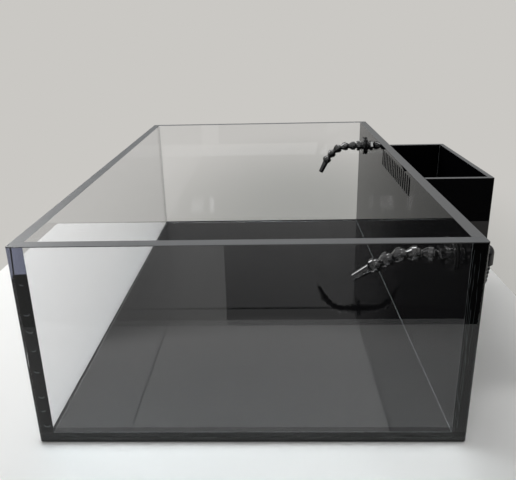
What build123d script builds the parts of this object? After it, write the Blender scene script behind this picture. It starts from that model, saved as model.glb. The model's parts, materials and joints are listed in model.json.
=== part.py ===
from build123d import *
from math import cos, radians, sin, sqrt, tan
import os

# Frag tank: a shallow clear and black acrylic aquarium with a weir on its right side,
# an external overflow box behind the weir, and two ball-and-socket return nozzles.
# The origin is the centre of the tank's bottom face. X runs to the right (towards the
# overflow box), Y to the back, Z up. The photograph looks along +Y. All sizes are in mm.

# Tank shell, 24 x 36 x 12 inches outside
tank_width = 609.6
tank_depth = 914.4
tank_height = 304.8
wall = 18.0
base_thickness = 9.0
corner_round = 5.0
rim_ease = 0.8
base_ease = 1.5
cement_film = 0.1

# Weir slots in the right panel, 3/8 inch slots at 5/8 inch pitch
slot_count = 16
slot_pitch = 15.875
slot_width = 9.5
slot_height = 38.1
slot_rim_band = 6.35
first_slot_setback = 330.0

# Overflow box on the outside of the right panel
box_projection = 120.0
box_length = 295.0
box_height = 203.2
box_wall = 9.0
box_setback = 293.0

# Drain bulkheads in the overflow box floor
drain_spacing = 140.0
drain_bore = 13.3
drain_socket_radius = 16.8
drain_socket_depth = 24.0
drain_barrel_wall = 5.2
drain_barrel_below_nut = 26.0
drain_flange_lip = 11.0
drain_flange_thickness = 6.0
drain_gasket_thickness = 3.0
drain_nut_flats = 58.0
drain_nut_thickness = 12.0

# Return bulkheads through the right panel
return_drop = 48.8
front_return_setback = 82.0
rear_return_setback = 103.4
return_bore = 10.2
return_barrel_wall = 3.0
return_flange_radius = 23.0
return_flange_thickness = 4.0
return_gasket_thickness = 2.0
gasket_inset = 1.5
nut_chamfer = 1.0
return_nut_flats = 36.0
return_nut_thickness = 9.0
barrel_stub = 4.0
hole_clearance = 0.4
spigot_clearance = 0.15
spigot_length = 12.0

# Ball-and-socket hose
ball_radius = 9.1
ball_clearance = 0.3
ball_face = 5.0
socket_wall = 1.85
mouth_depth = 2.8
bell_length = 4.5
lip_round = 0.9
link_pitch = 21.0
neck_length = 1.2
hose_bore = 4.7
neck_wall = 1.5
adapter_barrel_length = 7.5
adapter_hex_flats = 24.0
adapter_hex_length = 8.0
adapter_neck_length = 1.0
nozzle_length = 40.0
nozzle_root_radius = 7.4
nozzle_tip_radius = 5.9
nozzle_tip_wall = 2.1
nozzle_shoulder = 5.5

# Elbow with a hose barb on the dry side
elbow_radius = 12.2
elbow_arm_radius = 11.2
elbow_arm_bore = 6.4
elbow_reach = 15.4
elbow_drop = 16.5
barb_bore = 4.2
barb_count = 5
barb_pitch = 6.1
barb_radius = 9.8
barb_height = 1.6
barb_taper = 0.6
barb_land = 0.8

# How the hoses are bent: downward slope of each link from the adapter to the nozzle,
# and the sideways swing of the whole hose towards the back of the tank
rear_slopes = (1.0, 15.0, 38.0, 51.0, 65.0)
rear_swing = 0.0
front_slopes = (4.0, 13.0, 29.0, 34.0, 39.0)
front_swing = 22.0

# Places that several pieces share
wall_height = tank_height - base_thickness
wet_face = tank_width / 2 - wall
dry_face = tank_width / 2
slot_z = tank_height - slot_rim_band - slot_height / 2
return_z = tank_height - return_drop
front_return_y = -tank_depth / 2 + front_return_setback
rear_return_y = tank_depth / 2 - rear_return_setback
return_barrel_radius = return_bore + return_barrel_wall
return_hole_radius = return_barrel_radius + hole_clearance
box_front = -tank_depth / 2 + box_setback
box_middle = box_front + box_length / 2
box_outer = dry_face + box_projection
box_bottom = tank_height - box_height
box_panel_height = box_height - box_wall
drain_x = dry_face + (box_projection - box_wall) / 2
drain_barrel_radius = drain_socket_radius + drain_barrel_wall
drain_hole_radius = drain_barrel_radius + hole_clearance
drain_flange_radius = drain_barrel_radius + drain_flange_lip
spigot_radius = return_bore - spigot_clearance

# Hose shapes that follow from the ball
socket_radius = ball_radius + ball_clearance
bell_radius = socket_radius + socket_wall
neck_radius = hose_bore + neck_wall
ball_root = sqrt(ball_radius**2 - neck_radius**2)
ball_nose = sqrt(ball_radius**2 - ball_face**2)
mouth_radius = sqrt(socket_radius**2 - mouth_depth**2)
socket_floor = sqrt(socket_radius**2 - hose_bore**2)

os.makedirs("parts", exist_ok=True)


def finish(piece, name):
    """Label a finished piece and write it to its own file."""
    piece.part.label = name
    export_step(piece.part, "parts/" + name + ".step")


# Bottom panel: black sheet under all four walls, outside corners rounded with them
with BuildPart() as bottom_panel:
    Box(tank_width, tank_depth, base_thickness, align=(Align.CENTER, Align.CENTER, Align.MIN))
    fillet(bottom_panel.edges().filter_by(Axis.Z), corner_round)
    chamfer(bottom_panel.faces().sort_by(Axis.Z)[0].edges(), base_ease)
finish(bottom_panel, "bottom_panel")

# Front panel: clear sheet across the full width, standing on the bottom panel
with BuildPart() as front_panel:
    with Locations((0, -tank_depth / 2, base_thickness)):
        Box(tank_width, wall, wall_height, align=(Align.CENTER, Align.MIN, Align.MIN))
    fillet(front_panel.edges().filter_by(Axis.Z).group_by(Axis.Y)[0], corner_round)
    chamfer(front_panel.faces().sort_by(Axis.Z)[-1].edges().sort_by(Axis.Y)[:-1], rim_ease)
finish(front_panel, "front_panel")

# Back panel: the same sheet at the back
with BuildPart() as back_panel:
    with Locations((0, tank_depth / 2, base_thickness)):
        Box(tank_width, wall, wall_height, align=(Align.CENTER, Align.MAX, Align.MIN))
    fillet(back_panel.edges().filter_by(Axis.Z).group_by(Axis.Y)[-1], corner_round)
    chamfer(back_panel.faces().sort_by(Axis.Z)[-1].edges().sort_by(Axis.Y)[1:], rim_ease)
finish(back_panel, "back_panel")

# Left panel: clear sheet between the front and back panels, a film of cement at each end
side_length = tank_depth - 2 * (wall + cement_film)
with BuildPart() as left_panel:
    with Locations((-tank_width / 2, 0, base_thickness)):
        Box(wall, side_length, wall_height, align=(Align.MIN, Align.CENTER, Align.MIN))
    chamfer(left_panel.edges().filter_by(Axis.Y).group_by(Axis.Z)[-1].sort_by(Axis.X)[0], rim_ease)
finish(left_panel, "left_panel")

# Weir panel: black sheet on the right, with the overflow slots and the two return holes
slot_centres = [-tank_depth / 2 + first_slot_setback + i * slot_pitch for i in range(slot_count)]
with BuildPart() as weir_panel:
    with Locations((dry_face, 0, base_thickness)):
        Box(wall, side_length, wall_height, align=(Align.MAX, Align.CENTER, Align.MIN))
    chamfer(weir_panel.edges().filter_by(Axis.Y).group_by(Axis.Z)[-1].sort_by(Axis.X)[-1], rim_ease)
    with BuildSketch(Plane.YZ.offset(wet_face)):
        with Locations(*[(y, slot_z) for y in slot_centres]):
            SlotOverall(slot_height, slot_width, rotation=90)
        with Locations((front_return_y, return_z), (rear_return_y, return_z)):
            Circle(return_hole_radius)
    extrude(amount=wall, mode=Mode.SUBTRACT)
finish(weir_panel, "weir_panel")

# Overflow box: three black walls and a floor, welded to the weir panel's dry face
with BuildPart() as overflow_outer_wall:
    with Locations((box_outer, box_middle, box_bottom + box_wall)):
        Box(box_wall, box_length, box_panel_height, align=(Align.MAX, Align.CENTER, Align.MIN))
    chamfer(overflow_outer_wall.edges().filter_by(Axis.Z).group_by(Axis.X)[-1], rim_ease)
finish(overflow_outer_wall, "overflow_outer_wall")

with BuildPart() as overflow_front_wall:
    with Locations((dry_face, box_front, box_bottom + box_wall)):
        Box(box_projection - box_wall, box_wall, box_panel_height, align=(Align.MIN, Align.MIN, Align.MIN))
finish(overflow_front_wall, "overflow_front_wall")

with BuildPart() as overflow_back_wall:
    with Locations((dry_face, box_front + box_length, box_bottom + box_wall)):
        Box(box_projection - box_wall, box_wall, box_panel_height, align=(Align.MIN, Align.MAX, Align.MIN))
finish(overflow_back_wall, "overflow_back_wall")

drain_places = [(drain_x, box_middle - drain_spacing / 2), (drain_x, box_middle + drain_spacing / 2)]
with BuildPart() as overflow_floor:
    with Locations((dry_face, box_middle, box_bottom)):
        Box(box_projection, box_length, box_wall, align=(Align.MIN, Align.CENTER, Align.MIN))
    chamfer(overflow_floor.edges().filter_by(Axis.Z).group_by(Axis.X)[-1], rim_ease)
    with BuildSketch(Plane.XY.offset(box_bottom)):
        with Locations(*drain_places):
            Circle(drain_hole_radius)
    extrude(amount=box_wall, mode=Mode.SUBTRACT)
finish(overflow_floor, "overflow_floor")

# Drain bulkheads: flanged body and gasket inside the box, nut under its floor
floor_top = box_bottom + box_wall
drain_flange_seat = floor_top + drain_gasket_thickness
drain_top = drain_flange_seat + drain_flange_thickness
drain_end = box_bottom - drain_nut_thickness - drain_barrel_below_nut


def drain_body(x, y):
    """Flanged drain body with a pipe socket at each end of its bore."""
    with BuildPart() as body:
        with BuildSketch(Plane.XY.offset(drain_flange_seat)):
            with Locations((x, y)):
                Circle(drain_flange_radius)
        extrude(amount=drain_flange_thickness)
        fillet(body.faces().sort_by(Axis.Z)[-1].edges(), drain_flange_thickness / 4)
        with BuildSketch(Plane.XY.offset(drain_end)):
            with Locations((x, y)):
                Circle(drain_barrel_radius)
        extrude(amount=drain_flange_seat - drain_end)
        chamfer(body.faces().sort_by(Axis.Z)[0].edges(), drain_barrel_wall / 4)
        with BuildSketch(Plane.XY.offset(drain_end)):
            with Locations((x, y)):
                Circle(drain_bore)
        extrude(amount=drain_top - drain_end, mode=Mode.SUBTRACT)
        with BuildSketch(Plane.XY.offset(drain_end), Plane.XY.offset(drain_top - drain_socket_depth)):
            with Locations((x, y)):
                Circle(drain_socket_radius)
        extrude(amount=drain_socket_depth, mode=Mode.SUBTRACT)
    return body


def drain_gasket(x, y):
    """Flat rubber ring between the flange and the box floor."""
    with BuildPart() as ring:
        with BuildSketch(Plane.XY.offset(floor_top)):
            with Locations((x, y)):
                Circle(drain_flange_radius - gasket_inset)
                Circle(drain_hole_radius, mode=Mode.SUBTRACT)
        extrude(amount=drain_gasket_thickness)
    return ring


def drain_nut(x, y):
    """Hexagon nut under the box floor."""
    with BuildPart() as nut:
        with BuildSketch(Plane.XY.offset(box_bottom - drain_nut_thickness)):
            with Locations((x, y)):
                RegularPolygon(drain_nut_flats / 2, 6, major_radius=False)
                Circle(drain_barrel_radius + spigot_clearance, mode=Mode.SUBTRACT)
        extrude(amount=drain_nut_thickness)
        chamfer(nut.faces().sort_by(Axis.Z)[0].outer_wire().edges(), nut_chamfer)
    return nut


for (x, y), place in zip(drain_places, ("main", "standby")):
    finish(drain_body(x, y), place + "_drain_body")
    finish(drain_gasket(x, y), place + "_drain_gasket")
    finish(drain_nut(x, y), place + "_drain_nut")

# Return bulkheads: everything here turns about an axis along X through the return hole
flange_seat = wet_face - return_gasket_thickness
flange_face = flange_seat - return_flange_thickness
nut_face = dry_face + return_nut_thickness
barrel_end = nut_face + barrel_stub


def return_body(y):
    """Flange on the wet side and a threaded barrel through the wall to the dry side."""
    with BuildPart() as body:
        with BuildSketch(Plane.YZ.offset(flange_face)):
            with Locations((y, return_z)):
                Circle(return_flange_radius)
        extrude(amount=return_flange_thickness)
        fillet(body.faces().sort_by(Axis.X)[0].edges(), return_flange_thickness / 4)
        with BuildSketch(Plane.YZ.offset(flange_seat)):
            with Locations((y, return_z)):
                Circle(return_barrel_radius)
        extrude(amount=barrel_end - flange_seat)
        chamfer(body.faces().sort_by(Axis.X)[-1].edges(), return_barrel_wall / 4)
        with BuildSketch(Plane.YZ.offset(flange_face)):
            with Locations((y, return_z)):
                Circle(return_bore)
        extrude(amount=barrel_end - flange_face, mode=Mode.SUBTRACT)
    return body


def return_gasket(y):
    """Rubber ring under the flange."""
    with BuildPart() as ring:
        with BuildSketch(Plane.YZ.offset(flange_seat)):
            with Locations((y, return_z)):
                Circle(return_flange_radius - gasket_inset)
                Circle(return_hole_radius, mode=Mode.SUBTRACT)
        extrude(amount=return_gasket_thickness)
    return ring


def return_nut(y):
    """Hexagon nut on the dry side."""
    with BuildPart() as nut:
        with BuildSketch(Plane.YZ.offset(dry_face)):
            with Locations((y, return_z)):
                RegularPolygon(return_nut_flats / 2, 6, major_radius=False)
                Circle(return_barrel_radius + spigot_clearance, mode=Mode.SUBTRACT)
        extrude(amount=return_nut_thickness)
        chamfer(nut.faces().sort_by(Axis.X)[-1].outer_wire().edges(), nut_chamfer)
    return nut


def barb_elbow(y):
    """Elbow screwed into the barrel's dry end, its ribbed hose barb pointing down."""
    elbow_x = barrel_end + elbow_reach
    barb_top = -elbow_drop
    barb_end = barb_top - barb_count * barb_pitch
    outline = [(elbow_radius, 0), (elbow_radius, barb_top)]
    for i in range(barb_count):
        rib_top = barb_top - i * barb_pitch
        crest = barb_radius - i * barb_taper
        root = crest - barb_height
        outline.append((root, rib_top))
        outline.append((root, rib_top - barb_land))
        outline.append((crest, rib_top - barb_land))
        outline.append((crest, rib_top - 2 * barb_land))
    outline.append((root, barb_end))
    outline.append((0, barb_end))
    outline.append((0, elbow_radius))
    with BuildPart() as elbow:
        with BuildSketch(Plane(origin=(elbow_x, y, return_z), x_dir=(1, 0, 0), z_dir=(0, -1, 0))):
            with BuildLine():
                Polyline(*outline)
                RadiusArc((0, elbow_radius), (elbow_radius, 0), elbow_radius)
            make_face()
        revolve(axis=Axis((elbow_x, y, return_z), (0, 0, 1)))
        with BuildSketch(Plane.YZ.offset(barrel_end)):
            with Locations((y, return_z)):
                Circle(elbow_arm_radius)
        extrude(amount=elbow_reach)
        with BuildSketch(Plane.YZ.offset(barrel_end - spigot_length)):
            with Locations((y, return_z)):
                Circle(spigot_radius)
        extrude(amount=spigot_length)
        with BuildSketch(Plane.YZ.offset(barrel_end - spigot_length)):
            with Locations((y, return_z)):
                Circle(elbow_arm_bore)
        extrude(amount=spigot_length + elbow_reach + barb_bore / 2, mode=Mode.SUBTRACT)
        with BuildSketch(Plane.XY.offset(return_z + barb_end)):
            with Locations((elbow_x, y)):
                Circle(barb_bore)
        extrude(amount=-barb_end, mode=Mode.SUBTRACT)
    return elbow


# The hose: each link's socket grips the ball before it, and its own ball carries the next
hose_reach = adapter_barrel_length + adapter_hex_length + adapter_neck_length + ball_root
first_ball_x = flange_face - hose_reach


def hose_adapter(y):
    """Screwed into the flange: spigot, barrel, hexagon, neck and the first ball."""
    frame = Plane(origin=(flange_face, y, return_z), x_dir=(-1, 0, 0), z_dir=(0, 1, 0))
    neck_start = adapter_barrel_length + adapter_hex_length
    ball_centre = neck_start + adapter_neck_length + ball_root
    with BuildPart() as adapter:
        with BuildSketch(Plane.YZ.offset(flange_face - neck_start)):
            with Locations((y, return_z)):
                RegularPolygon(adapter_hex_flats / 2, 6, major_radius=False)
        extrude(amount=adapter_hex_length)
        chamfer(adapter.faces().filter_by(Axis.X).edges(), nut_chamfer)
        with BuildSketch(frame):
            with BuildLine():
                Polyline(
                    (ball_centre + ball_face, ball_nose),
                    (ball_centre + ball_face, 0),
                    (-spigot_length, 0),
                    (-spigot_length, spigot_radius),
                    (neck_start, spigot_radius),
                    (neck_start, neck_radius),
                    (ball_centre - ball_root, neck_radius),
                )
                ThreePointArc(
                    (ball_centre - ball_root, neck_radius),
                    (ball_centre, ball_radius),
                    (ball_centre + ball_face, ball_nose),
                )
            make_face()
        revolve(axis=Axis(frame.origin, frame.x_dir))
        with BuildSketch(Plane.YZ.offset(flange_face + spigot_length)):
            with Locations((y, return_z)):
                Circle(hose_bore)
        extrude(amount=-(spigot_length + ball_centre + ball_face), mode=Mode.SUBTRACT)
    return adapter


def socket_outline():
    """Points of the bell from the socket's mouth to the end of its straight outside."""
    return [
        (-mouth_depth, mouth_radius),
        (-mouth_depth, bell_radius - lip_round),
        (-mouth_depth + lip_round, bell_radius),
        (bell_length, bell_radius),
    ]


def socket_bore_arc():
    """The ball's seat, from the bore to the mouth."""
    middle = sqrt(0.5) * socket_radius
    ThreePointArc((socket_floor, hose_bore), (middle, middle), (-mouth_depth, mouth_radius))


def hose_link(frame):
    """One link: bell and socket at the frame's origin, ball one pitch along its X."""
    neck_start = link_pitch - ball_root - neck_length
    with BuildPart() as link:
        with BuildSketch(frame):
            with BuildLine():
                Polyline(*socket_outline(), (neck_start, neck_radius), (link_pitch - ball_root, neck_radius))
                ThreePointArc(
                    (link_pitch - ball_root, neck_radius),
                    (link_pitch, ball_radius),
                    (link_pitch + ball_face, ball_nose),
                )
                Polyline(
                    (link_pitch + ball_face, ball_nose),
                    (link_pitch + ball_face, hose_bore),
                    (socket_floor, hose_bore),
                )
                socket_bore_arc()
            make_face()
        revolve(axis=Axis(frame.origin, frame.x_dir))
    return link


def hose_nozzle(frame):
    """The nozzle: a socket like a link's, then a round tube that narrows to its tip."""
    root = bell_length + nozzle_shoulder
    tip_bore = nozzle_tip_radius - nozzle_tip_wall
    with BuildPart() as nozzle:
        with BuildSketch(frame):
            with BuildLine():
                Polyline(
                    *socket_outline(),
                    (root, nozzle_root_radius),
                    (nozzle_length, nozzle_tip_radius),
                    (nozzle_length, tip_bore),
                    (socket_floor, hose_bore),
                )
                socket_bore_arc()
            make_face()
        revolve(axis=Axis(frame.origin, frame.x_dir))
    return nozzle


def hose_frames(y, slopes, swing):
    """Planes at the hose's ball centres, X along each piece, Z across the hose's bend."""
    frames = []
    x, z = 0.0, 0.0
    across = Vector(sin(radians(swing)), cos(radians(swing)), 0)
    for slope in slopes:
        run, drop = cos(radians(slope)), sin(radians(slope))
        along = Vector(-run * cos(radians(swing)), run * sin(radians(swing)), -drop)
        centre = Vector(first_ball_x - x * cos(radians(swing)), y + x * sin(radians(swing)), return_z - z)
        frames.append(Plane(origin=centre, x_dir=along, z_dir=across))
        x += link_pitch * run
        z += link_pitch * drop
    return frames


for place, y, slopes, swing in (
    ("front", front_return_y, front_slopes, front_swing),
    ("rear", rear_return_y, rear_slopes, rear_swing),
):
    finish(return_body(y), place + "_return_body")
    finish(return_gasket(y), place + "_return_gasket")
    finish(return_nut(y), place + "_return_nut")
    finish(barb_elbow(y), place + "_barb_elbow")
    finish(hose_adapter(y), place + "_hose_adapter")
    frames = hose_frames(y, slopes, swing)
    for number, frame in enumerate(frames[:-1], start=1):
        finish(hose_link(frame), place + "_hose_link_" + str(number))
    finish(hose_nozzle(frames[-1]), place + "_nozzle")
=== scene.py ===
import json
from math import cos, pi, radians, sin

import bmesh
import bpy
from mathutils import Matrix, Vector


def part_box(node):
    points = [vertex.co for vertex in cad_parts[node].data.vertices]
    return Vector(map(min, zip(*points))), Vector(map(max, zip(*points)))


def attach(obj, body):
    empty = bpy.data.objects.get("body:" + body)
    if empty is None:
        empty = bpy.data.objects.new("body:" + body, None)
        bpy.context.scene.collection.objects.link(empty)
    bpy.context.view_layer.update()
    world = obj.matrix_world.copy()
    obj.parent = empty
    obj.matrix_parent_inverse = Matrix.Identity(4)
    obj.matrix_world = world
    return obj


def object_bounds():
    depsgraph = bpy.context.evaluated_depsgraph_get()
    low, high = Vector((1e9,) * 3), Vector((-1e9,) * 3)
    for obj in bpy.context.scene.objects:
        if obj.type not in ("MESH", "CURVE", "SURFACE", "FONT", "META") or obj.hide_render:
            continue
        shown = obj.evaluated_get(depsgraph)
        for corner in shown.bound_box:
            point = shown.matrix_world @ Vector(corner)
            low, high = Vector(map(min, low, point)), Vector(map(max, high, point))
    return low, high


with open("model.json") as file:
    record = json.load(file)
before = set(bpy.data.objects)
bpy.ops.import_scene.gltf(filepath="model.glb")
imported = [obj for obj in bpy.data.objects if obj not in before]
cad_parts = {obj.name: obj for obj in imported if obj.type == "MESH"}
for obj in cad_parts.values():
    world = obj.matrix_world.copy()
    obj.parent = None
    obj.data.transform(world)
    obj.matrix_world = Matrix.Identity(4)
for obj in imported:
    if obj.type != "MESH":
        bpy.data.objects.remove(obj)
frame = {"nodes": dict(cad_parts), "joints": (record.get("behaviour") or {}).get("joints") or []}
cad_low, cad_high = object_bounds()
nodes = frame["nodes"]

# Bottom, weir panel and overflow box: black cast acrylic sheet, 9 and 18 mm thick. It is cast
# between glass plates, so its faces are mirror smooth. The sheets are sawn to size and
# solvent-welded. Sawn edges that are buffed look nearly black, and scraped ones satin grey.
mm = 0.001
acrylic_ior = 1.49


def linear(hex_colour, alpha=1.0):
    """An sRGB colour such as #1a2b3c as the linear values that shaders take."""
    shares = [int(hex_colour[i : i + 2], 16) / 255 for i in (1, 3, 5)]
    return [s / 12.92 if s <= 0.04045 else ((s + 0.055) / 1.055) ** 2.4 for s in shares] + [alpha]


def add_node(tree, kind, inputs=None, **settings):
    """Adds a node, sets its properties, and sets or links its inputs."""
    made = tree.nodes.new(kind)
    for name, value in settings.items():
        setattr(made, name, value)
    for name, value in (inputs or {}).items():
        if isinstance(value, bpy.types.NodeSocket):
            tree.links.new(value, made.inputs[name])
        else:
            made.inputs[name].default_value = value
    return made


def new_material(name):
    """An empty node material, its tree and its output node."""
    material = bpy.data.materials.new(name)
    material.use_nodes = True
    material.node_tree.nodes.clear()
    return material, material.node_tree, material.node_tree.nodes.new("ShaderNodeOutputMaterial")


def dress(material, *names):
    """Gives CAD nodes a material."""
    for name in names:
        slots = nodes[name].data.materials
        slots.clear()
        slots.append(material)


def facing(tree, axis, least=0.9):
    """1 where the surface faces along an axis, either way, by more than the cosine least, else 0."""
    geometry = add_node(tree, "ShaderNodeNewGeometry")
    parts = add_node(tree, "ShaderNodeSeparateXYZ", {"Vector": geometry.outputs["Normal"]})
    size = add_node(tree, "ShaderNodeMath", {0: parts.outputs[axis]}, operation="ABSOLUTE")
    return add_node(
        tree, "ShaderNodeMath", {0: size.outputs[0], 1: least}, operation="GREATER_THAN"
    )


def black_acrylic(name, edge_axis, edge_colour, edge_roughness):
    """Polished black sheet with paler, rougher sawn edges that face along edge_axis."""
    saw_marks, haze_patches = 1.5 * mm, 60 * mm
    dust_spacing, speck_radius = 30 * mm, 0.42 * mm
    material, tree, output = new_material(name)
    place = add_node(tree, "ShaderNodeTexCoord")
    sawn = facing(tree, edge_axis)
    marks = add_node(
        tree, "ShaderNodeTexNoise",
        {"Vector": place.outputs["Object"], "Scale": 1 / saw_marks, "Detail": 2.0},
    )
    # Haze from handling makes the mirror a little softer in patches
    haze = add_node(
        tree, "ShaderNodeTexNoise",
        {"Vector": place.outputs["Object"], "Scale": 1 / haze_patches, "Detail": 3.0},
    )
    face_gloss = add_node(
        tree, "ShaderNodeMapRange",
        {
            "Value": haze.outputs["Fac"],
            "From Min": 0.45, "From Max": 0.75, "To Min": 0.012, "To Max": 0.03,
        },
    )
    edge_gloss = add_node(
        tree, "ShaderNodeMapRange",
        {
            "Value": marks.outputs["Fac"],
            "To Min": edge_roughness * 0.8, "To Max": edge_roughness * 1.25,
        },
    )
    rough = add_node(
        tree, "ShaderNodeMix",
        {
            "Factor": sawn.outputs[0],
            2: face_gloss.outputs["Result"], 3: edge_gloss.outputs["Result"],
        },
    )
    # Dust lies on the sheet as single specks, drawn larger than real ones so that they show
    specks = add_node(
        tree, "ShaderNodeTexVoronoi",
        {"Vector": place.outputs["Object"], "Scale": 1 / dust_spacing, "Randomness": 1.0},
    )
    speck = add_node(
        tree, "ShaderNodeMath",
        {0: specks.outputs["Distance"], 1: speck_radius / dust_spacing}, operation="LESS_THAN",
    )
    sheet = add_node(
        tree, "ShaderNodeMix",
        {"Factor": speck.outputs[0], 6: linear("#050506"), 7: linear("#3a3b3b")},
        data_type="RGBA",
    )
    colour = add_node(
        tree, "ShaderNodeMix",
        {"Factor": sawn.outputs[0], 6: sheet.outputs[2], 7: linear(edge_colour)},
        data_type="RGBA",
    )
    grain = add_node(
        tree, "ShaderNodeMath", {0: marks.outputs["Fac"], 1: sawn.outputs[0]}, operation="MULTIPLY"
    )
    relief = add_node(
        tree, "ShaderNodeBump",
        {"Strength": 0.25, "Distance": 0.2 * mm, "Height": grain.outputs[0]},
    )
    shader = add_node(
        tree, "ShaderNodeBsdfPrincipled",
        {
            "Base Color": colour.outputs[2],
            "Roughness": rough.outputs[0],
            "IOR": acrylic_ior,
            "Normal": relief.outputs["Normal"],
        },
    )
    tree.links.new(shader.outputs[0], output.inputs["Surface"])
    return material


dress(
    black_acrylic("black cast acrylic, buffed edges", "Y", "#101111", 0.3),
    "bottom_panel", "overflow_floor",
)
dress(
    black_acrylic("black cast acrylic, scraped top edges", "Z", "#5e5f60", 0.48),
    "weir_panel", "overflow_outer_wall", "overflow_front_wall", "overflow_back_wall",
)

# Front, left and back panels: clear cast acrylic, 18 mm, with polished faces. The top edges are
# scraped and left matte, so they look mid grey. Along its length the sheet is faintly blue, which
# shows only where one looks down inside a panel.
inner_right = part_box("weir_panel")[0].x
inner_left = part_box("left_panel")[1].x
back_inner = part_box("back_panel")[0].y


def clear_acrylic():
    """Clear sheet with matte grey top edges that lets lamps light what is inside the tank."""
    # Real scraper marks are under 1 mm apart, too fine to show, so they are drawn coarser
    scraper_marks = 2 * mm
    # Level faces below this height are the panels' feet, and above it their top edges
    foot_height = 50 * mm
    material, tree, output = new_material("clear cast acrylic")
    place = add_node(tree, "ShaderNodeTexCoord")
    spot = add_node(tree, "ShaderNodeSeparateXYZ", {"Vector": place.outputs["Object"]})
    flat = facing(tree, "Z", 0.5)
    level = facing(tree, "Z")
    upper = add_node(
        tree, "ShaderNodeMath", {0: spot.outputs["Z"], 1: foot_height}, operation="GREATER_THAN"
    )
    scraped = add_node(
        tree, "ShaderNodeMath", {0: flat.outputs[0], 1: upper.outputs[0]}, operation="MULTIPLY"
    )
    marks = add_node(
        tree, "ShaderNodeTexNoise",
        {"Vector": place.outputs["Object"], "Scale": 1 / scraper_marks, "Detail": 2.0},
    )
    edge_gloss = add_node(
        tree, "ShaderNodeMapRange", {"Value": marks.outputs["Fac"], "To Min": 0.4, "To Max": 0.65}
    )
    rough = add_node(
        tree, "ShaderNodeMath",
        {0: scraped.outputs[0], 1: edge_gloss.outputs["Result"]}, operation="MULTIPLY",
    )
    # The rims' bevels are dull and darker than the edge between them
    edge_colour = add_node(
        tree, "ShaderNodeMix",
        {"Factor": level.outputs[0], 6: linear("#232425"), 7: linear("#66686a")},
        data_type="RGBA",
    )
    colour = add_node(
        tree, "ShaderNodeMix",
        {"Factor": scraped.outputs[0], 6: linear("#ffffff"), 7: edge_colour.outputs[2]},
        data_type="RGBA",
    )
    clear = add_node(
        tree, "ShaderNodeMapRange", {"Value": scraped.outputs[0], "To Min": 1.0, "To Max": 0.25}
    )
    shader = add_node(
        tree, "ShaderNodeBsdfPrincipled",
        {
            "Base Color": colour.outputs[2],
            "Roughness": rough.outputs[0],
            "IOR": acrylic_ior,
            "Transmission Weight": clear.outputs["Result"],
        },
    )
    # The front and back panels' inner faces are the upright ones inside the middle of each panel
    depth = add_node(tree, "ShaderNodeMath", {0: spot.outputs["Y"]}, operation="ABSOLUTE")
    inside = add_node(
        tree, "ShaderNodeMath",
        {0: depth.outputs[0], 1: (back_inner + cad_high.y) / 2}, operation="LESS_THAN",
    )
    upright = facing(tree, "Y")
    inner_face = add_node(
        tree, "ShaderNodeMath", {0: inside.outputs[0], 1: upright.outputs[0]}, operation="MULTIPLY"
    )
    # Where a face is cemented to a black sheet, under a panel and against the weir panel's ends,
    # light goes straight into the black sheet, so from inside the face looks black
    foot = add_node(
        tree, "ShaderNodeMath", {0: flat.outputs[0], 1: scraped.outputs[0]}, operation="SUBTRACT"
    )
    at_weir = add_node(
        tree, "ShaderNodeMath", {0: spot.outputs["X"], 1: inner_right}, operation="GREATER_THAN"
    )
    weir_end = add_node(
        tree, "ShaderNodeMath",
        {0: at_weir.outputs[0], 1: inner_face.outputs[0]}, operation="MULTIPLY",
    )
    cemented = add_node(
        tree, "ShaderNodeMath", {0: foot.outputs[0], 1: weir_end.outputs[0]}, operation="MAXIMUM"
    )
    black = add_node(tree, "ShaderNodeBsdfDiffuse", {"Color": linear("#050505")})
    faces = add_node(
        tree, "ShaderNodeMixShader",
        {0: cemented.outputs[0], 1: shader.outputs[0], 2: black.outputs[0]},
    )
    # Where clear sheets are cemented to each other, light goes straight on
    at_left = add_node(
        tree, "ShaderNodeMath", {0: spot.outputs["X"], 1: inner_left}, operation="LESS_THAN"
    )
    joined = add_node(
        tree, "ShaderNodeMath",
        {0: at_left.outputs[0], 1: inner_face.outputs[0]}, operation="MULTIPLY",
    )
    onward = add_node(tree, "ShaderNodeBsdfTransparent")
    sheets = add_node(
        tree, "ShaderNodeMixShader",
        {0: joined.outputs[0], 1: faces.outputs[0], 2: onward.outputs[0]},
    )
    # Lamps shine through the panels onto what stands behind them
    rays = add_node(tree, "ShaderNodeLightPath")
    passed = add_node(tree, "ShaderNodeBsdfTransparent", {"Color": linear("#f2f6f7")})
    mix = add_node(
        tree, "ShaderNodeMixShader",
        {0: rays.outputs["Is Shadow Ray"], 1: sheets.outputs[0], 2: passed.outputs[0]},
    )
    tree.links.new(mix.outputs[0], output.inputs["Surface"])
    # 1 m of the sheet takes out two thirds of red and green and under half of blue
    tint = add_node(
        tree, "ShaderNodeVolumeAbsorption", {"Color": linear("#6176b8"), "Density": 1.25}
    )
    tree.links.new(tint.outputs[0], output.inputs["Volume"])
    return material


dress(clear_acrylic(), "front_panel", "left_panel", "back_panel")

# Solvent cement: run into every joint between the panels. What is squeezed out along the inside
# corners sets as a fine bead, smooth and clear with milky stretches, so it shows as a thin pale
# line that comes and goes. The milky share is partly the cement's own whitish set and partly a
# painted highlight, for the light that a clear bead catches.
cement_ior = 1.47
rim_gap = 2 * mm


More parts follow.
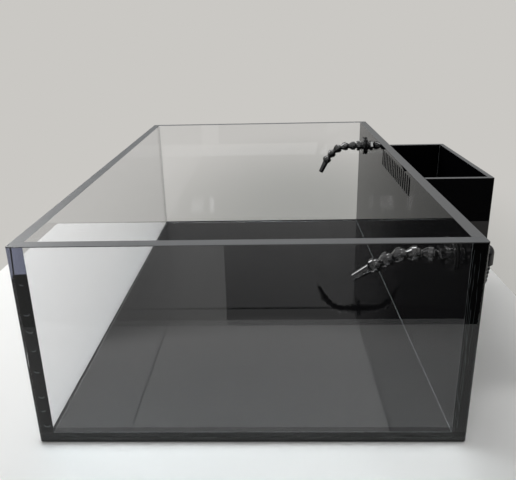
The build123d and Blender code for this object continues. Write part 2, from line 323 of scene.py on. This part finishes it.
def cured_cement(name, milky):
    """Set cement: clear with a milky share, partly painted highlight, its surface slightly uneven."""
    milky_stretch = 6 * mm
    material, tree, output = new_material(name)
    place = add_node(tree, "ShaderNodeTexCoord")
    cloud = add_node(
        tree, "ShaderNodeTexNoise",
        {"Vector": place.outputs["Object"], "Scale": 1 / milky_stretch, "Detail": 3.0},
    )
    clear = add_node(
        tree, "ShaderNodeMapRange",
        {
            "Value": cloud.outputs["Fac"],
            "From Min": 0.3, "From Max": 0.7, "To Min": 1 - milky, "To Max": 1 - milky / 3,
        },
    )
    relief = add_node(
        tree, "ShaderNodeBump",
        {"Strength": 0.4, "Distance": 0.3 * mm, "Height": cloud.outputs["Fac"]},
    )
    shader = add_node(
        tree, "ShaderNodeBsdfPrincipled",
        {
            "Base Color": linear("#e6ecee"),
            "Roughness": 0.12,
            "IOR": cement_ior,
            "Transmission Weight": clear.outputs["Result"],
            "Normal": relief.outputs["Normal"],
        },
    )
    tree.links.new(shader.outputs[0], output.inputs["Surface"])
    return material


def add_piece(name, mesh, material, body):
    """Makes an object of a finished bmesh, and lets it ride on a body."""
    data = bpy.data.meshes.new(name)
    mesh.to_mesh(data)
    mesh.free()
    data.materials.append(material)
    for face in data.polygons:
        face.use_smooth = True
    piece = bpy.data.objects.new(name, data)
    bpy.context.scene.collection.objects.link(piece)
    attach(piece, body)


def sweep(mesh, rings):
    """Skins a row of equal rings of points, and closes its two ends."""
    rows = [[mesh.verts.new(point) for point in ring] for ring in rings]
    count = len(rows[0])
    for near, far in zip(rows, rows[1:]):
        for i in range(count):
            mesh.faces.new((near[i], near[(i + 1) % count], far[(i + 1) % count], far[i]))
    mesh.faces.new(rows[0][::-1])
    mesh.faces.new(rows[-1])


def cement_bead(mesh, start, end, side_a, side_b, width):
    """A hollow-faced bead in the corner between two faces that run off along side_a and side_b."""
    start, end, side_a, side_b = (Vector(v) for v in (start, end, side_a, side_b))
    off_face = 0.05 * mm
    ring_spacing = 12 * mm
    steps = max(2, int((end - start).length / ring_spacing))
    rings = []
    for i in range(steps + 1):
        spot = start.lerp(end, i / steps)
        # The bead swells and thins by a quarter over a few centimetres
        swell = width * (1 + 0.16 * sin(i * 1.9) + 0.1 * sin(i * 0.7 + 1.3))
        section = [
            (off_face, off_face),
            (swell, off_face),
            (swell * 0.42, swell * 0.3),
            (swell * 0.3, swell * 0.42),
            (off_face, swell),
        ]
        rings.append([spot + side_a * a + side_b * b for a, b in section])
    sweep(mesh, rings)


west, east, south, north, up = (-1, 0, 0), (1, 0, 0), (0, -1, 0), (0, 1, 0), (0, 0, 1)
left_low, left_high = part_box("left_panel")
front_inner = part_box("front_panel")[1].y
floor_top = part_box("bottom_panel")[1].z
front_left, front_right = (inner_left, front_inner), (inner_right, front_inner)
back_left, back_right = (inner_left, back_inner), (inner_right, back_inner)
tank_bead = 0.5 * mm
mesh = bmesh.new()
for start, end, inward, width in (
    (front_right, back_right, west, tank_bead),
    (front_left, back_left, east, tank_bead * 0.6),
    (front_left, front_right, north, tank_bead),
    (back_left, back_right, south, tank_bead * 0.7),
):
    cement_bead(mesh, (*start, floor_top), (*end, floor_top), inward, up, width)
for corner, side_a, side_b in (
    (front_right, west, north),
    (back_right, west, south),
    (back_left, east, south),
    (front_left, east, north),
):
    foot, top = (*corner, floor_top), (*corner, left_high.z - rim_gap)
    cement_bead(mesh, foot, top, side_a, side_b, tank_bead * 0.6)
# Painted highlight in part: the milky share makes the corner beads pale, as a clear bead looks where
# it catches the light
milky_cement_with_painted_glint = cured_cement("cured solvent cement, milky with painted glint", 0.35)
add_piece("cement_in_tank_corners", mesh, milky_cement_with_painted_glint, "tank")

# Cement on the overflow box: a clear hair line down both sides of its front and back walls,
# where they meet the weir panel, and a finer one in the box's two inner corners.
weir_low, weir_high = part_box("weir_panel")
box_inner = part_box("overflow_outer_wall")[0].x
box_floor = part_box("overflow_floor")[1].z
outside_bead, inside_bead = 0.9 * mm, 0.7 * mm
mesh = bmesh.new()
for name, inward in (("overflow_front_wall", north), ("overflow_back_wall", south)):
    wall_low, wall_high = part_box(name)
    top = wall_high.z - rim_gap
    for y, side in ((wall_low.y, south), (wall_high.y, north)):
        foot = (weir_high.x, y, wall_low.z)
        cement_bead(mesh, foot, (weir_high.x, y, top), east, side, outside_bead)
        if side == inward:
            foot = (box_inner, y, box_floor)
            cement_bead(mesh, foot, (box_inner, y, top), west, side, inside_bead)
clear_cement = cured_cement("cured solvent cement, clear", 0.15)
add_piece("cement_on_overflow_box", mesh, clear_cement, "tank")

# Bubbles: air that was caught in the joint under the left panel's front end, as flat crescents a
# few millimetres across and thinner than the film of cement that they lie in. They pass little
# light, so they show as grey marks.
half_thickness = 0.02 * mm


def bubble(mesh, centre, across, drop, turn):
    """A flat U-shaped crescent, thickest at its foot."""
    half_circle = 12
    tilt = Matrix.Rotation(turn, 3, "Y")
    depth = Vector((0, half_thickness, 0))
    rings = []
    for i in range(half_circle + 1):
        angle = pi * i / half_circle
        thick = 0.45 * mm + 0.35 * mm * sin(angle)
        middle = Vector(centre) + tilt @ Vector((-across * cos(angle), 0, -drop * sin(angle)))
        step = tilt @ Vector((-cos(angle), 0, -sin(angle))) * thick
        near, far = middle - step, middle + step
        rings.append([near - depth, far - depth, far + depth, near + depth])
    sweep(mesh, rings)


caught_air, tree, output = new_material("air caught in cement")
shader = add_node(
    tree, "ShaderNodeBsdfPrincipled",
    {"Base Color": linear("#4c5052"), "Roughness": 0.3, "IOR": 1.3},
)
tree.links.new(shader.outputs[0], output.inputs["Surface"])
joint_middle = (left_low.x + left_high.x) / 2
joint_film = (front_inner + left_low.y) / 2
mesh = bmesh.new()
# Height, half width and drop in millimetres, and turn in radians
for height, half, drop, turn in (
    (247.4, 2.2, 1.6, 0.3),
    (203.5, 3.6, 2.8, -0.1),
    (177.8, 4.2, 3.4, 0.1),
    (147.4, 3.0, 2.2, -0.3),
    (112.9, 3.6, 1.8, 0.2),
    (71.4, 3.8, 2.4, 0.0),
    (47.4, 2.6, 1.8, -0.2),
    (22.7, 4.4, 3.4, 0.1),
):
    centre = (joint_middle + mm * sin(height * 0.09), joint_film, height * mm)
    bubble(mesh, centre, half * mm, drop * mm, turn)
add_piece("bubbles_in_front_left_joint", mesh, caught_air, "tank")

# Streaks: where the cement ran down the weir panel's front end, air stayed beside it in uneven
# upright threads. They lie just inside the front panel's back face, and show as fine grey lines.
streak_depth = front_inner - 2 * half_thickness


def streak(mesh, inset, bottom, top, half, phase):
    """A flat upright thread that wanders and swells along its height."""
    steps = 40
    rings = []
    for i in range(steps + 1):
        height = bottom + (top - bottom) * i / steps
        wander = 0.6 * mm * sin(height * 47 + phase) + 0.3 * mm * sin(height * 131 + phase)
        middle = weir_low.x + inset + wander
        breadth = half * (0.55 + 0.45 * sin(height * 210 + phase) * sin(height * 33))
        near, far = streak_depth - half_thickness, streak_depth + half_thickness
        rings.append([
            (middle - breadth, near, height),
            (middle + breadth, near, height),
            (middle + breadth, far, height),
            (middle - breadth, far, height),
        ])
    sweep(mesh, rings)


mesh = bmesh.new()
# Inset, lower and upper end and half width in millimetres, and phase in radians
for inset, bottom, top, half, phase in (
    (2.2, 12, 290, 0.30, 0.0),
    (5.2, 30, 270, 0.22, 1.7),
    (7.1, 16, 205, 0.34, 3.1),
    (11.6, 120, 286, 0.18, 4.4),
):
    streak(mesh, inset * mm, bottom * mm, top * mm, half * mm, phase)
add_piece("streaks_in_front_right_joint", mesh, caught_air, "tank")

# Return and drain bulkheads with their nuts: moulded ABS, satin black from a fine spark-eroded
# mould. Their gaskets are EPDM rubber, punched from sheet, dull and a little greyer. The barrels
# carry a screw thread, which the solids leave plain.


def moulded_plastic(name, hex_colour, roughness, grain_size, polish=0.0):
    """Black moulded plastic with a fine grain, and a glossy skin where the mould is polished."""
    material, tree, output = new_material(name)
    place = add_node(tree, "ShaderNodeTexCoord")
    grain = add_node(
        tree, "ShaderNodeTexNoise",
        {"Vector": place.outputs["Object"], "Scale": 1 / grain_size, "Detail": 3.0},
    )
    gloss = add_node(
        tree, "ShaderNodeMapRange",
        {"Value": grain.outputs["Fac"], "To Min": roughness * 0.75, "To Max": roughness * 1.3},
    )
    relief = add_node(
        tree, "ShaderNodeBump",
        {"Strength": 0.12, "Distance": 0.1 * mm, "Height": grain.outputs["Fac"]},
    )
    shader = add_node(
        tree, "ShaderNodeBsdfPrincipled",
        {
            "Base Color": linear(hex_colour),
            "Roughness": gloss.outputs["Result"],
            "IOR": 1.5,
            "Coat Weight": polish,
            "Coat Roughness": 0.04,
            "Normal": relief.outputs["Normal"],
        },
    )
    tree.links.new(shader.outputs[0], output.inputs["Surface"])
    return material


def screw_thread(mesh, start, along, length, radius, pitch, height):
    """A raised helical thread on a plain barrel, fading out over its first and last half turn."""
    along = Vector(along)
    side = along.orthogonal().normalized()
    other = along.cross(side)
    half_turn = 20
    # Four tenths of a turn stay free at each end
    free_end = 0.4
    count = int((length / pitch - 2 * free_end) * 2 * half_turn)
    root, crest = along * pitch * 0.36, along * pitch * 0.08
    sunk = 0.04 * mm
    rings = []
    for i in range(count + 1):
        angle = pi * i / half_turn
        out = side * cos(angle) + other * sin(angle)
        spot = Vector(start) + along * (pitch * (free_end + i / (2 * half_turn)))
        fade = max(0.02, min(1.0, i / half_turn, (count - i) / half_turn))
        foot, top = out * (radius - sunk), out * (radius + height * fade)
        rings.append([spot + foot - root, spot + top - crest, spot + top + crest, spot + foot + root])
    sweep(mesh, rings)


# The real grain is 0.1 to 0.2 mm wide, too fine to show, so it is drawn coarser
abs_black = moulded_plastic("moulded black ABS", "#0c0c0d", 0.2, 0.8 * mm)
rubber = moulded_plastic("black EPDM rubber", "#151515", 0.7, 0.5 * mm)
for place in ("front_return", "rear_return", "main_drain", "standby_drain"):
    dress(abs_black, place + "_body", place + "_nut")
    dress(rubber, place + "_gasket")
drain_barrel, drain_pitch, drain_crest = 22 * mm, 2.3 * mm, 0.8 * mm
for place in ("main_drain", "standby_drain"):
    nut_low, nut_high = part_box(place + "_nut")
    centre = (nut_low + nut_high) / 2
    start = (centre.x, centre.y, nut_low.z - 0.5 * mm)
    length = nut_low.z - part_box(place + "_body")[0].z - 2 * mm
    mesh = bmesh.new()
    screw_thread(mesh, start, (0, 0, -1), length, drain_barrel, drain_pitch, drain_crest)
    add_piece(place + "_thread", mesh, abs_black, "tank")
return_barrel, return_pitch, return_crest = 13.2 * mm, 1.8 * mm, 0.5 * mm
for place in ("front", "rear"):
    nut_low, nut_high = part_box(place + "_return_nut")
    centre = (nut_low + nut_high) / 2
    start = (nut_high.x + 0.1 * mm, centre.y, centre.z)
    mesh = bmesh.new()
    screw_thread(mesh, start, east, 3.6 * mm, return_barrel, return_pitch, return_crest)
    add_piece(place + "_return_thread", mesh, abs_black, "tank")

# Hose adapters, links and nozzles: acetal, injection-moulded in polished moulds, so it is black
# with small sharp highlights. Each adapter shows a few turns of its thread between the flange and
# its hexagon. Barbed elbows are moulded nylon, a little less glossy.
acetal = moulded_plastic("moulded black acetal", "#070708", 0.09, 3 * mm, polish=1.0)
nylon = moulded_plastic("moulded black nylon", "#0b0b0c", 0.16, 1.5 * mm)
dress(acetal, *[name for name in nodes if "_hose_" in name or name.endswith("_nozzle")])
dress(nylon, "front_barb_elbow", "rear_barb_elbow")
adapter_barrel, adapter_pitch, adapter_crest = 10.05 * mm, 1.8 * mm, 0.9 * mm
for place in ("front", "rear"):
    flange_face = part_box(place + "_return_body")[0].x
    centre = sum(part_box(place + "_return_nut"), Vector()) / 2
    start = (flange_face - 0.2 * mm, centre.y, centre.z)
    mesh = bmesh.new()
    screw_thread(mesh, start, west, 7.2 * mm, adapter_barrel, adapter_pitch, adapter_crest)
    add_piece(place + "_adapter_thread", mesh, acetal, "tank")

# Mould lines: where the two halves of the mould met, each link and nozzle has a fine raised seam
# down both sides, from the lip of its bell to its narrow end.


def mould_line(mesh, start, along, across, profile):
    """A fine raised seam down one side of a piece, over its profile of distance and radius."""
    along, across = Vector(along).normalized(), Vector(across).normalized()
    proud, sunk = 0.18 * mm, 0.08 * mm
    half = along.cross(across) * 0.25 * mm
    rings = []
    for distance, radius in profile:
        spot = Vector(start) + along * distance
        foot, top = across * (radius - sunk), across * (radius + proud)
        rings.append([spot + foot - half, spot + top, spot + foot + half])
    sweep(mesh, rings)


bell = [(-1.8 * mm, 11.25 * mm), (4.5 * mm, 11.25 * mm)]
link_side = bell + [(13.14 * mm, 6.2 * mm)]
nozzle_side = bell + [(10 * mm, 7.4 * mm), (39.8 * mm, 5.9 * mm)]
# Slope of each hose at its nozzle and its swing to the side, as the solids have them
hose_ends = {"front": (radians(39), radians(22)), "rear": (radians(65), 0.0)}
for place, (slope, swing) in hose_ends.items():
    balls = [Vector(j["pos_m"]) for j in frame["joints"] if j["name"].startswith(place)]
    across = Vector((sin(swing), cos(swing), 0))
    for number, (ball, following) in enumerate(zip(balls, balls[1:]), start=1):
        link = f"{place}_link_{number}"
        mesh = bmesh.new()
        for side in (across, -across):
            mould_line(mesh, ball, following - ball, side, link_side)
        add_piece(link + "_mould_lines", mesh, acetal, link)
    run = cos(slope)
    pointing = Vector((-run * cos(swing), run * sin(swing), -sin(slope)))
    mesh = bmesh.new()
    for side in (across, -across):
        mould_line(mesh, balls[-1], pointing, side, nozzle_side)
    add_piece(place + "_nozzle_mould_lines", mesh, acetal, place + "_nozzle")

# Bench top and wall: a plain pale floor. Beyond the bench's own edges and behind the tank it
# takes the even colour of a painted wall, with a soft painted shade in that colour just behind the
# tank, for the tank's shadow on the wall.
floor_reach = 8.0
bench_front, bench_back = -0.773, 0.468
bench_left, bench_right = -0.65, 0.561
shade_x, shade_y = 0.15, 0.35
shade_breadth, shade_depth = 0.8, 1.7
floor_mesh = bpy.data.meshes.new("floor")
floor_mesh.from_pydata(
    [
        (-floor_reach, bench_front, 0),
        (floor_reach, bench_front, 0),
        (floor_reach, floor_reach, 0),
        (-floor_reach, floor_reach, 0),
    ],
    [], [(0, 1, 2, 3)],
)
floor = bpy.data.objects.new("floor", floor_mesh)
bpy.context.scene.collection.objects.link(floor)
floor.location.z = -0.2 * mm
material, tree, output = new_material("pale bench top")
place = add_node(tree, "ShaderNodeTexCoord")
spot = add_node(tree, "ShaderNodeSeparateXYZ", {"Vector": place.outputs["Object"]})
past_back = add_node(
    tree, "ShaderNodeMath", {0: spot.outputs["Y"], 1: bench_back}, operation="GREATER_THAN"
)
from_middle = add_node(
    tree, "ShaderNodeMath",
    {0: spot.outputs["X"], 1: (bench_left + bench_right) / 2}, operation="SUBTRACT",
)
off_middle = add_node(tree, "ShaderNodeMath", {0: from_middle.outputs[0]}, operation="ABSOLUTE")
past_side = add_node(
    tree, "ShaderNodeMath",
    {0: off_middle.outputs[0], 1: (bench_right - bench_left) / 2}, operation="GREATER_THAN",
)
beyond = add_node(
    tree, "ShaderNodeMath", {0: past_back.outputs[0], 1: past_side.outputs[0]}, operation="MAXIMUM"
)
# Painted shade: the wall's colour darkens smoothly towards a spot just behind the tank, for the
# tank's shadow on the wall
shade_place = add_node(
    tree, "ShaderNodeMapping",
    {
        "Vector": place.outputs["Object"],
        "Location": (-shade_x / shade_breadth, -shade_y / shade_depth, 0),
        "Scale": (1 / shade_breadth, 1 / shade_depth, 1),
    },
)
shade_radius = add_node(
    tree, "ShaderNodeVectorMath", {0: shade_place.outputs[0]}, operation="LENGTH"
)
shade = add_node(
    tree, "ShaderNodeMapRange",
    {"Value": shade_radius.outputs["Value"], "From Min": 0.1, "From Max": 1.0},
    interpolation_type="SMOOTHSTEP",
)
wall_tone_and_shade = add_node(
    tree, "ShaderNodeMix",
    {"Factor": shade.outputs["Result"], 6: linear("#a5a5a1"), 7: linear("#cac8c4")},
    data_type="RGBA",
)
bench = add_node(
    tree, "ShaderNodeBsdfPrincipled", {"Base Color": linear("#f3f3f1"), "Roughness": 0.5}
)
wall_lit = add_node(tree, "ShaderNodeBsdfDiffuse", {"Color": wall_tone_and_shade.outputs[2]})
rays = add_node(tree, "ShaderNodeLightPath")
# In the mirror of the black sheets the wall is a little darker than seen straight
mirrored = add_node(
    tree, "ShaderNodeMapRange",
    {"Value": rays.outputs["Glossy Depth"], "To Min": 1.0, "To Max": 0.82},
)
wall_even = add_node(
    tree, "ShaderNodeEmission",
    {"Color": wall_tone_and_shade.outputs[2], "Strength": mirrored.outputs["Result"]},
)
straight = add_node(
    tree, "ShaderNodeMath",
    {0: rays.outputs["Is Camera Ray"], 1: rays.outputs["Is Glossy Ray"]}, operation="MAXIMUM",
)
direct = add_node(
    tree, "ShaderNodeMath",
    {0: straight.outputs[0], 1: rays.outputs["Is Transmission Ray"]}, operation="MAXIMUM",
)
wall = add_node(
    tree, "ShaderNodeMixShader",
    {0: direct.outputs[0], 1: wall_lit.outputs[0], 2: wall_even.outputs[0]},
)
ground = add_node(
    tree, "ShaderNodeMixShader",
    {0: beyond.outputs[0], 1: bench.outputs[0], 2: wall.outputs[0]},
)
tree.links.new(ground.outputs[0], output.inputs["Surface"])
floor_mesh.materials.append(material)

# Room: a pale ceiling, grey walls and a dark floor, which mirrors and panes show. Diffuse light
# gets one even grey level from it, and straight on it has the wall's own colour.
world = bpy.data.worlds.new("room")
bpy.context.scene.world = world
world.use_nodes = True
tree = world.node_tree
tree.nodes.clear()
output = tree.nodes.new("ShaderNodeOutputWorld")
place = add_node(tree, "ShaderNodeTexCoord")
way = add_node(tree, "ShaderNodeSeparateXYZ", {"Vector": place.outputs["Generated"]})
slant = add_node(
    tree, "ShaderNodeMath", {0: way.outputs["X"], 1: way.outputs["Y"]}, operation="DIVIDE"
)
# The far left corner is unlit
lit_part = add_node(
    tree, "ShaderNodeMapRange", {"Value": slant.outputs[0], "From Min": -0.27, "From Max": -0.19}
)
back_wall = add_node(
    tree, "ShaderNodeMix",
    {"Factor": lit_part.outputs["Result"], 6: linear("#555555"), 7: linear("#959594")},
    data_type="RGBA",
)
backward = add_node(
    tree, "ShaderNodeMapRange", {"Value": way.outputs["Y"], "From Min": -0.4, "From Max": 0.4}
)
walls = add_node(
    tree, "ShaderNodeMix",
    {"Factor": backward.outputs["Result"], 6: linear("#bcbcbc"), 7: back_wall.outputs[2]},
    data_type="RGBA",
)
overhead = add_node(
    tree, "ShaderNodeMapRange", {"Value": way.outputs["Z"], "From Min": 0.5, "From Max": 0.53}
)
walls_and_ceiling = add_node(
    tree, "ShaderNodeMix",
    {"Factor": overhead.outputs["Result"], 6: walls.outputs[2], 7: linear("#e7e7e6")},
    data_type="RGBA",
)
# Below, in front of the bench, the room is paler on the left
to_left = add_node(
    tree, "ShaderNodeMath", {0: slant.outputs[0], 1: 0.102}, operation="GREATER_THAN"
)
in_front = add_node(tree, "ShaderNodeMath", {0: way.outputs["Y"], 1: 0.0}, operation="LESS_THAN")
pale_part = add_node(
    tree, "ShaderNodeMath", {0: to_left.outputs[0], 1: in_front.outputs[0]}, operation="MULTIPLY"
)
below = add_node(
    tree, "ShaderNodeMix",
    {"Factor": pale_part.outputs[0], 6: linear("#272727"), 7: linear("#b5b5b3")},
    data_type="RGBA",
)
above = add_node(tree, "ShaderNodeMath", {0: way.outputs["Z"], 1: 0.0}, operation="GREATER_THAN")
seen = add_node(
    tree, "ShaderNodeMix",
    {"Factor": above.outputs[0], 6: below.outputs[2], 7: walls_and_ceiling.outputs[2]},
    data_type="RGBA",
)
rays = add_node(tree, "ShaderNodeLightPath")
behind = add_node(
    tree, "ShaderNodeMix",
    {"Factor": rays.outputs["Is Camera Ray"], 6: seen.outputs[2], 7: linear("#cac8c4")},
    data_type="RGBA",
)
even = add_node(
    tree, "ShaderNodeMix",
    {"Factor": rays.outputs["Diffuse Depth"], 6: behind.outputs[2], 7: linear("#8e8e8e")},
    data_type="RGBA",
)
room = add_node(tree, "ShaderNodeBackground", {"Color": even.outputs[2]})
tree.links.new(room.outputs[0], output.inputs["Surface"])

# Lamps: two ceiling lights, a window on the left and a weak fill on the right, all soft oblongs
# at a plain level. Three small panes far behind the camera show as faint pale patches in the
# panels.


def lamp(name, spot, size, watts, aim=(0, 0, 0.1), mirrored=True, through_panels=True):
    """A soft oblong lamp, which glossy surfaces mirror or not and clear panels show or not."""
    light = bpy.data.lights.new(name, "AREA")
    light.shape = "RECTANGLE"
    light.size, light.size_y = size
    light.energy = watts
    made = bpy.data.objects.new(name, light)
    made.location = spot
    made.rotation_euler = (Vector(aim) - Vector(spot)).to_track_quat("-Z", "Y").to_euler()
    made.visible_camera = False
    made.visible_glossy = mirrored
    made.visible_transmission = through_panels
    bpy.context.scene.collection.objects.link(made)


lamp("ceiling light behind", (-0.2, 0.95, 2.3), (1.1, 0.28), 18)
lamp("ceiling light in front", (-0.1, -1.45, 2.3), (0.9, 0.18), 6)
lamp("window", (-1.5, 1.1, 1.1), (1.0, 0.8), 17, aim=(-0.5, 0.3, 0), through_panels=False)
lamp("fill", (1.9, 0.15, 1.6), (0.8, 0.8), 5, mirrored=False, through_panels=False)
pane_distance, pane_height, pane_breadth = -5.0, 1.74, 0.2
watts_per_area = 20
for number, (x, width) in enumerate(((-0.81, 0.05), (-1.033, 0.18), (-1.34, 0.09)), start=1):
    lamp(
        f"far pane {number}", (x, pane_distance, pane_height), (width, pane_breadth),
        watts_per_area * width * pane_breadth, aim=(x, 0, 0.3),
    )

# Camera: held in front of the tank's middle and above its rim, looking down along its length, a
# little turned and rolled. The picture's middle lies below the lens's axis, as it does where a
# picture is cropped at its top.
image_width = 516
focal_pixels = 528.5
axis_above_middle = 33.2
camera_data = bpy.data.cameras.new("camera")
camera_data.lens = camera_data.sensor_width * focal_pixels / image_width
camera_data.shift_y = -axis_above_middle / image_width
camera_data.clip_start = 0.01
camera_data.clip_end = 100
camera = bpy.data.objects.new("camera", camera_data)
stands_at = (0.0362, -1.0669, 0.5575)
turned, down, rolled = radians(1.715), radians(18.396), radians(-1.270)
camera.matrix_world = (
    Matrix.Translation(stands_at)
    @ Matrix.Rotation(turned, 4, "Z")
    @ Matrix.Rotation(pi / 2 - down, 4, "X")
    @ Matrix.Rotation(rolled, 4, "Z")
)
bpy.context.scene.collection.objects.link(camera)
bpy.context.scene.camera = camera
bpy.context.scene.view_settings.view_transform = "Standard"

# Light runs the whole length of the clear panels by reflection, so paths are long
cycles = bpy.context.scene.cycles
cycles.max_bounces = 32
cycles.glossy_bounces = 24
cycles.transmission_bounces = 24
